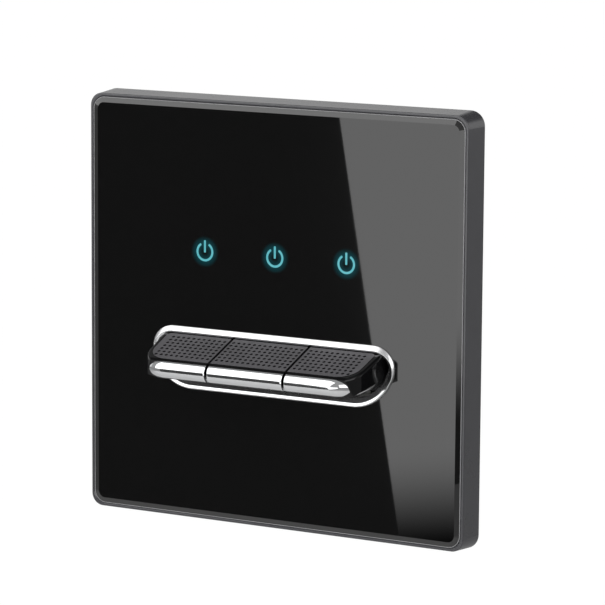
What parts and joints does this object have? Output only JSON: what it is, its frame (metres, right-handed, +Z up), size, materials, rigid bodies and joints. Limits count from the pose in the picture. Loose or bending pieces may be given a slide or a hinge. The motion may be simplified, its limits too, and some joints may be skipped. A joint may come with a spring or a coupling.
{
  "type": "glass light switch",
  "caption": "Square wall light switch with a black glass face, lit power icons and short push keys in a chromed bezel, over a steel yoke and a moulded mechanism housing.",
  "frame": {"origin": "centre of the panel on the wall's surface, midway between the fixing holes", "axes": "+X to the right seen from the room, +Y into the wall, +Z up"},
  "size_m": [0.086, 0.0416, 0.086],
  "materials": {
    "clear_glass": "polished, with a bevelled edge",
    "black_film": "black print, pierced by the icons",
    "frame_plastic": "satin",
    "bezel_chrome": "mirror",
    "guide_plastic": "translucent, tinted cyan",
    "led_plastic": "white package",
    "board_laminate": "solder mask",
    "resistor_body": "matt",
    "pin_metal": "bright",
    "yoke_steel": "zinc plated",
    "cradle_plastic": "matt moulding",
    "rod_steel": "ground",
    "housing_plastic": "matt moulding",
    "key_plastic": "polished black",
    "nose_chrome": "mirror",
    "grip_metal": "bead blasted, dimpled",
    "rod_plastic": "moulded",
    "spring_steel": "drawn wire",
    "rocker_plastic": "moulded",
    "contact_brass": "stamped",
    "clamp_steel": "zinc plated",
    "screw_steel": "zinc plated"
  },
  "bodies": {
    "base": {"glass_panel": "clear_glass", "print_film": "black_film", "face_frame": "frame_plastic", "key_bezel": "bezel_chrome", "led_board": "board_laminate", "board_resistors": "resistor_body", "board_pins": "pin_metal", "mounting_yoke": "yoke_steel", "key_cradle": "cradle_plastic", "pivot_rod": "rod_steel", "rear_housing": "housing_plastic", "terminal_clamps": "clamp_steel", "terminal_screws": "screw_steel", "housing_screws": "screw_steel", "light_guide_1": "guide_plastic", "light_guide_2": "guide_plastic", "light_guide_3": "guide_plastic", "indicator_led_1": "led_plastic", "indicator_led_2": "led_plastic", "indicator_led_3": "led_plastic", "return_spring_1": "spring_steel", "return_spring_2": "spring_steel", "return_spring_3": "spring_steel", "upper_contact_1": "contact_brass", "upper_contact_2": "contact_brass", "upper_contact_3": "contact_brass", "common_contact_1": "contact_brass", "common_contact_2": "contact_brass", "common_contact_3": "contact_brass", "lower_contact_1": "contact_brass", "lower_contact_2": "contact_brass", "lower_contact_3": "contact_brass"},
    "key_1": {"key_core_1": "key_plastic", "key_nose_1": "nose_chrome", "grip_plate_1": "grip_metal"},
    "swinging_rod_1": {"push_rod_1": "rod_plastic"},
    "rocker_1": {"toggle_rocker_1": "rocker_plastic", "moving_contact_1": "contact_brass"},
    "key_2": {"key_core_2": "key_plastic", "key_nose_2": "nose_chrome", "grip_plate_2": "grip_metal"},
    "swinging_rod_2": {"push_rod_2": "rod_plastic"},
    "rocker_2": {"toggle_rocker_2": "rocker_plastic", "moving_contact_2": "contact_brass"},
    "key_3": {"key_core_3": "key_plastic", "key_nose_3": "nose_chrome", "grip_plate_3": "grip_metal"},
    "swinging_rod_3": {"push_rod_3": "rod_plastic"},
    "rocker_3": {"toggle_rocker_3": "rocker_plastic", "moving_contact_3": "contact_brass"}
  },
  "joints": [
    {"name": "key_press_1", "type": "hinge", "parent": "base", "child": "key_1", "pos_m": [-0.017, 0.0015, -0.0055], "axis": [1, 0, 0], "range_deg": [0, 6], "stiffness_Nm_per_rad": 0.1, "springref_deg": -8.59, "deforming": ["return_spring_1"]},
    {"name": "push_swing_1", "type": "hinge", "parent": "key_1", "child": "swinging_rod_1", "pos_m": [-0.017, 0.0015, -0.014], "axis": [1, 0, 0], "range_deg": [-5, 5], "stiffness_Nm_per_rad": 0.002},
    {"name": "rocker_toggle_1", "type": "hinge", "parent": "base", "child": "rocker_1", "pos_m": [-0.017, 0.0137, -0.014], "axis": [1, 0, 0], "range_deg": [0, 20]},
    {"name": "key_press_2", "type": "hinge", "parent": "base", "child": "key_2", "pos_m": [0, 0.0015, -0.0055], "axis": [1, 0, 0], "range_deg": [0, 6], "stiffness_Nm_per_rad": 0.1, "springref_deg": -8.59, "deforming": ["return_spring_2"]},
    {"name": "push_swing_2", "type": "hinge", "parent": "key_2", "child": "swinging_rod_2", "pos_m": [0, 0.0015, -0.014], "axis": [1, 0, 0], "range_deg": [-5, 5], "stiffness_Nm_per_rad": 0.002},
    {"name": "rocker_toggle_2", "type": "hinge", "parent": "base", "child": "rocker_2", "pos_m": [0, 0.0137, -0.014], "axis": [1, 0, 0], "range_deg": [0, 20]},
    {"name": "key_press_3", "type": "hinge", "parent": "base", "child": "key_3", "pos_m": [0.017, 0.0015, -0.0055], "axis": [1, 0, 0], "range_deg": [0, 6], "stiffness_Nm_per_rad": 0.1, "springref_deg": -8.59, "deforming": ["return_spring_3"]},
    {"name": "push_swing_3", "type": "hinge", "parent": "key_3", "child": "swinging_rod_3", "pos_m": [0.017, 0.0015, -0.014], "axis": [1, 0, 0], "range_deg": [-5, 5], "stiffness_Nm_per_rad": 0.002},
    {"name": "rocker_toggle_3", "type": "hinge", "parent": "base", "child": "rocker_3", "pos_m": [0.017, 0.0137, -0.014], "axis": [1, 0, 0], "range_deg": [0, 20]}
  ]
}
